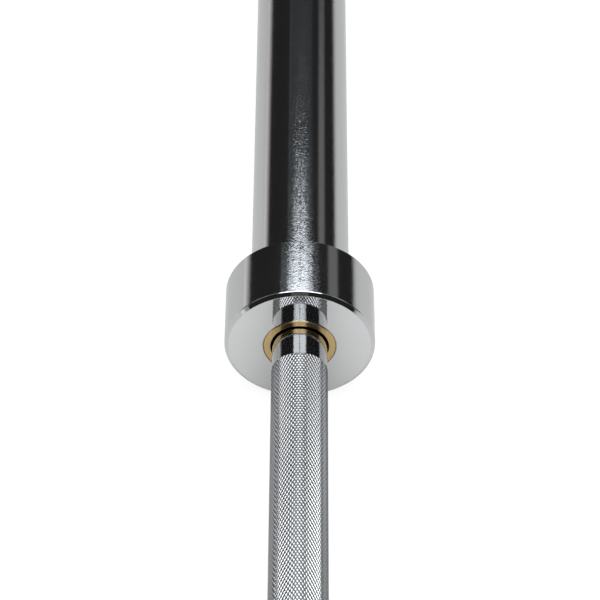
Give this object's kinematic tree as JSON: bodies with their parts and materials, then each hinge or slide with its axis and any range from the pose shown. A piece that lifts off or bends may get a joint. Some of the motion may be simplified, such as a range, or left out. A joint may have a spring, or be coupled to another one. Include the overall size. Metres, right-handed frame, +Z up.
{
  "type": "olympic barbell",
  "caption": "Long straight barbell: a knurled chrome shaft with bronze-bushed spinning sleeves that carry weight plates against thick collars.",
  "frame": {"origin": "middle of the bar, on its axis", "axes": "+X along the bar towards the right sleeve, +Z up"},
  "size_m": [2.2, 0.0754, 0.0754],
  "materials": {
    "shaft_chrome": "hard chrome, bright on the plain stretches and satin in the knurl",
    "collar_chrome": "chrome over turned steel, fine turning lines round the rim",
    "sleeve_chrome": "chrome over polished steel, fine lines round the sleeve",
    "bush_bronze": "machined bearing bronze",
    "washer_steel": "ground steel",
    "ring_steel": "blackened spring steel",
    "cap_chrome": "bright plated disc with fine turning lines",
    "seal_rubber": "black nitrile rubber"
  },
  "bodies": {
    "shaft": {"shaft": "shaft_chrome", "right_inner_thrust_washer": "washer_steel", "right_outer_thrust_washer": "washer_steel", "right_shaft_snap_ring": "ring_steel", "left_inner_thrust_washer": "washer_steel", "left_outer_thrust_washer": "washer_steel", "left_shaft_snap_ring": "ring_steel"},
    "right_sleeve": {"right_collar": "collar_chrome", "right_sleeve_tube": "sleeve_chrome", "right_inner_bush": "bush_bronze", "right_outer_bush": "bush_bronze", "right_end_cap": "cap_chrome", "right_end_cap_seal": "seal_rubber", "right_end_cap_snap_ring": "ring_steel"},
    "left_sleeve": {"left_collar": "collar_chrome", "left_sleeve_tube": "sleeve_chrome", "left_inner_bush": "bush_bronze", "left_outer_bush": "bush_bronze", "left_end_cap": "cap_chrome", "left_end_cap_seal": "seal_rubber", "left_end_cap_snap_ring": "ring_steel"}
  },
  "joints": [
    {"name": "right_sleeve_spin", "type": "hinge", "parent": "shaft", "child": "right_sleeve", "pos_m": [0.655, 0, 0], "axis": [1, 0, 0], "continuous": true},
    {"name": "left_sleeve_spin", "type": "hinge", "parent": "shaft", "child": "left_sleeve", "pos_m": [-0.655, 0, 0], "axis": [1, 0, 0], "continuous": true}
  ]
}
